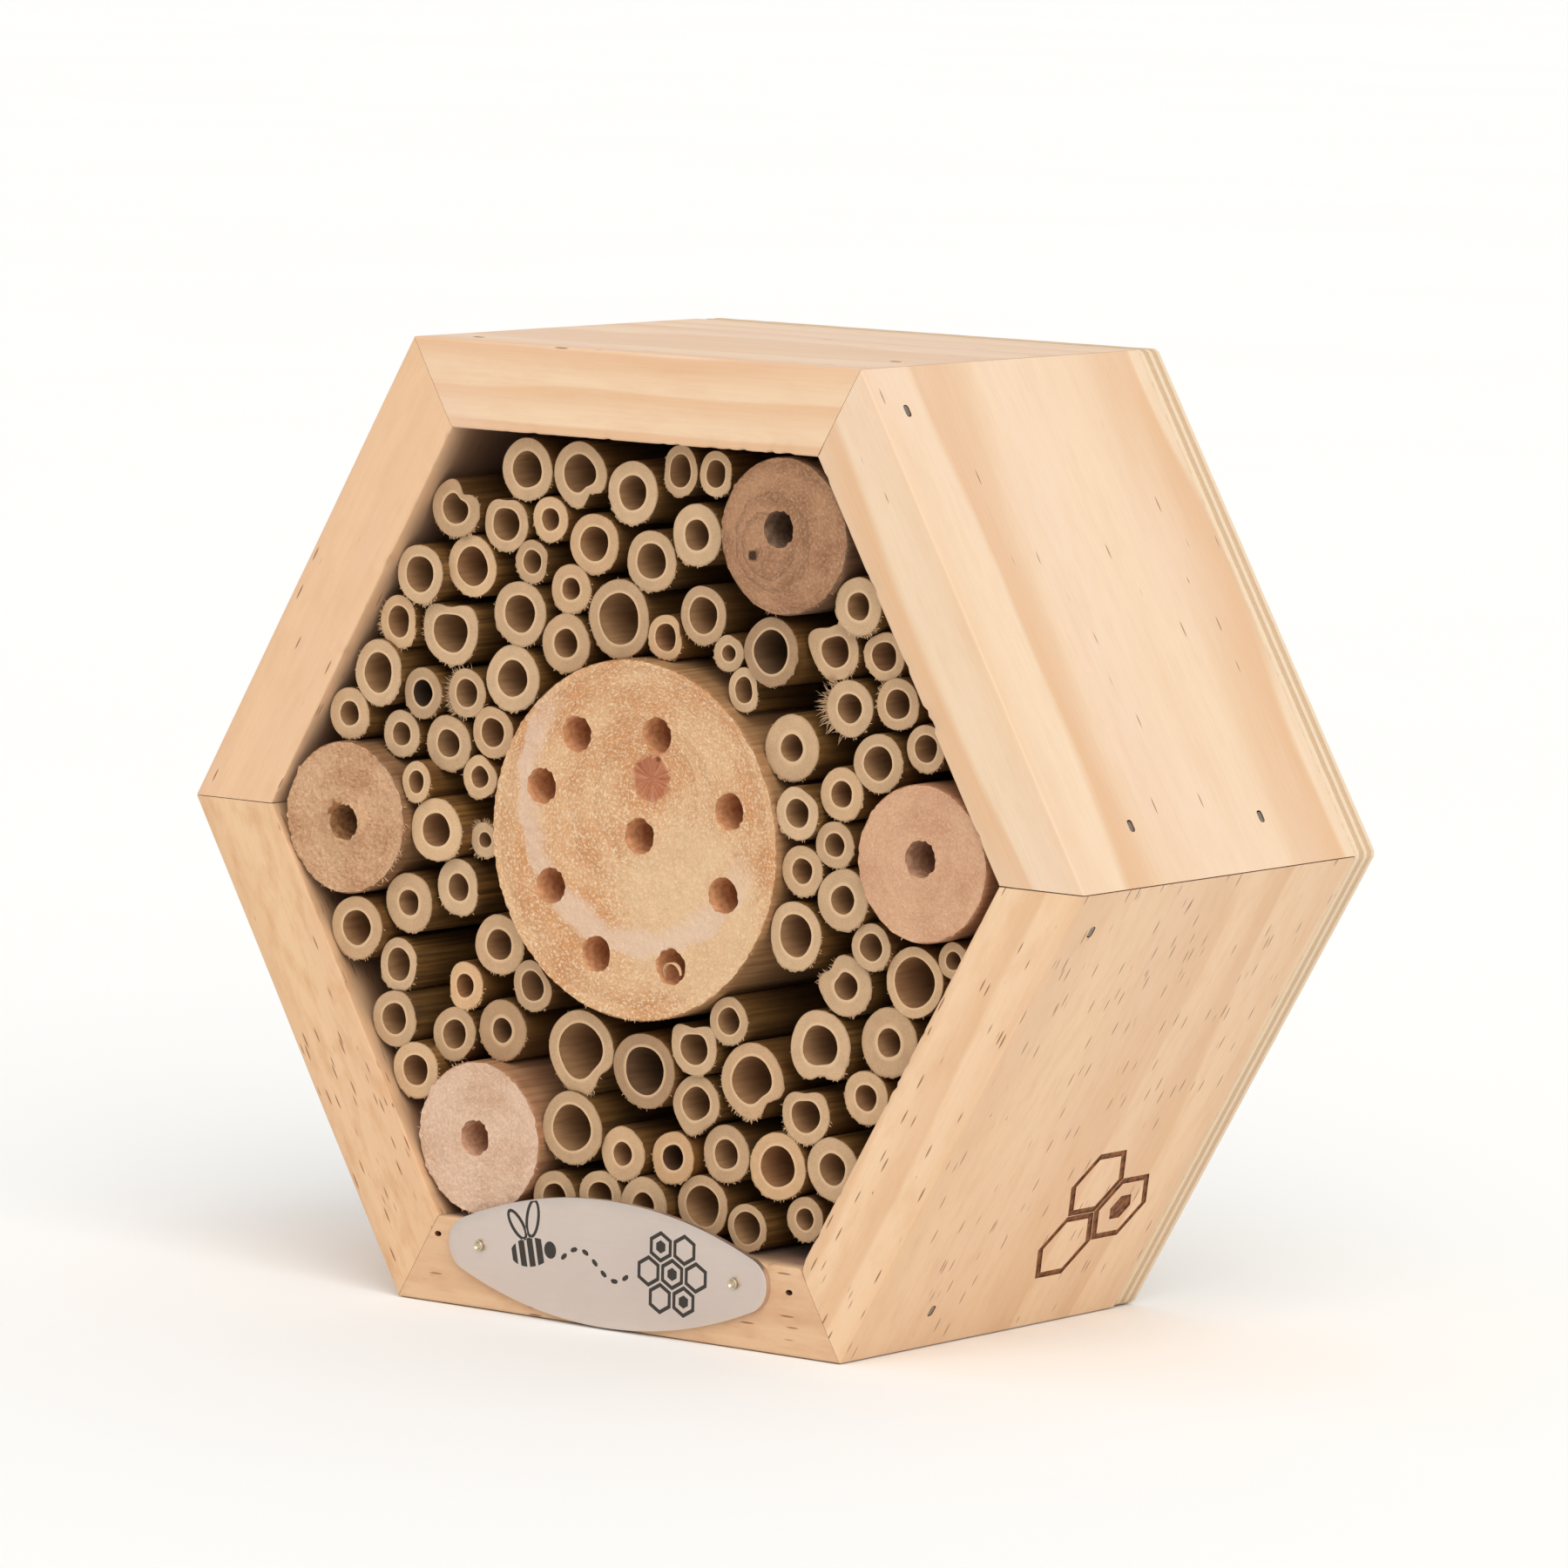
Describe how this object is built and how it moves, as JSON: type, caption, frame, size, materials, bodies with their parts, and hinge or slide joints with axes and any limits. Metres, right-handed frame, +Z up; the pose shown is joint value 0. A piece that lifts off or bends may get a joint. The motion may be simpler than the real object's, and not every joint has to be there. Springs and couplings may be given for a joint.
{
  "type": "insect hotel",
  "caption": "Hexagonal insect hotel: mitred pine box with a plywood back, packed with open bamboo canes around drilled logs, with a blank steel plaque and a keyhole hanger.",
  "frame": {"origin": "on the ground under the middle of the whole object", "axes": "+Z up, the open front faces -Y, +X to the right of someone facing the front"},
  "size_m": [0.2, 0.0936, 0.1732],
  "materials": {
    "pine_board": "planed, unfinished",
    "plywood": "sanded face, sawn edge",
    "log_peach": "rough sawn end grain",
    "log_brown": "rough sawn end grain",
    "log_tan": "rough sawn end grain",
    "log_pink": "rough sawn end grain",
    "log_pale_pink": "rough sawn end grain",
    "bamboo": "sawn ends, natural skin",
    "plaque_steel": "satin",
    "brass_pin": "plain",
    "zinc_steel": "zinc plated"
  },
  "bodies": {
    "root": {"board_top": "pine_board", "board_upper_right": "pine_board", "board_lower_right": "pine_board", "board_bottom": "pine_board", "board_lower_left": "pine_board", "board_upper_left": "pine_board", "brad_top_into_upper_right": "zinc_steel", "brad_top_into_upper_left": "zinc_steel", "brad_upper_right_into_lower_right": "zinc_steel", "brad_upper_right_into_top": "zinc_steel", "brad_lower_right_into_bottom": "zinc_steel", "brad_lower_right_into_upper_right": "zinc_steel", "brad_bottom_into_lower_left": "zinc_steel", "brad_bottom_into_lower_right": "zinc_steel", "brad_lower_left_into_upper_left": "zinc_steel", "brad_lower_left_into_bottom": "zinc_steel", "brad_upper_left_into_top": "zinc_steel", "brad_upper_left_into_lower_left": "zinc_steel", "back_panel": "plywood", "hanger_plate": "zinc_steel", "hanger_screw_left": "zinc_steel", "hanger_screw_right": "zinc_steel", "plaque": "plaque_steel", "plaque_pin_left": "brass_pin", "plaque_pin_right": "brass_pin", "log_large": "log_peach", "log_top_right": "log_brown", "log_left": "log_tan", "log_right": "log_pink", "log_bottom_left": "log_pale_pink", "canes_top_1": "bamboo", "canes_top_2": "bamboo", "canes_top_3": "bamboo", "canes_top_4": "bamboo", "canes_top_5": "bamboo", "canes_upper_left_1": "bamboo", "canes_upper_left_2": "bamboo", "canes_upper_left_3": "bamboo", "canes_upper_left_4": "bamboo", "canes_left_1": "bamboo", "canes_left_2": "bamboo", "canes_left_3": "bamboo", "canes_left_4": "bamboo", "canes_left_5": "bamboo", "cane_lower_left": "bamboo", "cane_lower_middle": "bamboo", "cane_bottom_left": "bamboo", "canes_bottom_1": "bamboo", "canes_bottom_2": "bamboo", "canes_bottom_3": "bamboo", "canes_bottom_4": "bamboo", "canes_bottom_5": "bamboo", "canes_bottom_6": "bamboo", "canes_lower_right_1": "bamboo", "canes_lower_right_2": "bamboo", "canes_lower_right_3": "bamboo", "canes_right_1": "bamboo", "canes_right_2": "bamboo", "canes_right_3": "bamboo", "canes_upper_right_1": "bamboo"}
  },
  "joints": []
}
